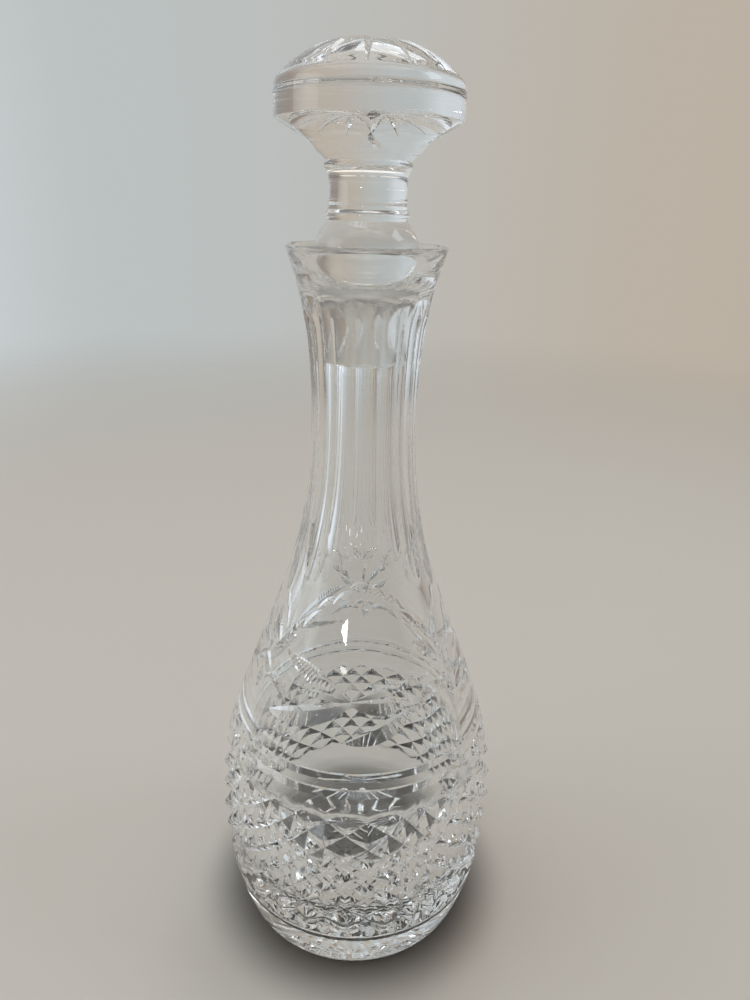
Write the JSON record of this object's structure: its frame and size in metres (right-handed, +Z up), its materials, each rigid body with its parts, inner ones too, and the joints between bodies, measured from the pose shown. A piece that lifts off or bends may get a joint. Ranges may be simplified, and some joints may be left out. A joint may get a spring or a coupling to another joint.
{
  "type": "wine decanter",
  "caption": "Tall cut-crystal wine decanter with a fluted neck, leaf-cut shoulder, diamond-cut body and a lift-out mushroom stopper with a ground peg.",
  "frame": {"origin": "centre of the foot, on the plane the bottle stands on", "axes": "+Z up along the axis of the bottle, -Y towards the front with the middle of the main leaf spray"},
  "size_m": [0.113, 0.1132, 0.3305],
  "materials": {
    "bottle_crystal": "polished clear lead crystal with polished cuts",
    "stopper_crystal": "polished clear lead crystal, with the peg ground to a light haze"
  },
  "bodies": {
    "bottle": {"bottle": "bottle_crystal"},
    "stopper": {"stopper": "stopper_crystal"}
  },
  "joints": [
    {"name": "stopper_lift", "type": "slide", "parent": "bottle", "child": "stopper", "axis": [0, 0, 1], "range_m": [0, 0.08]}
  ]
}
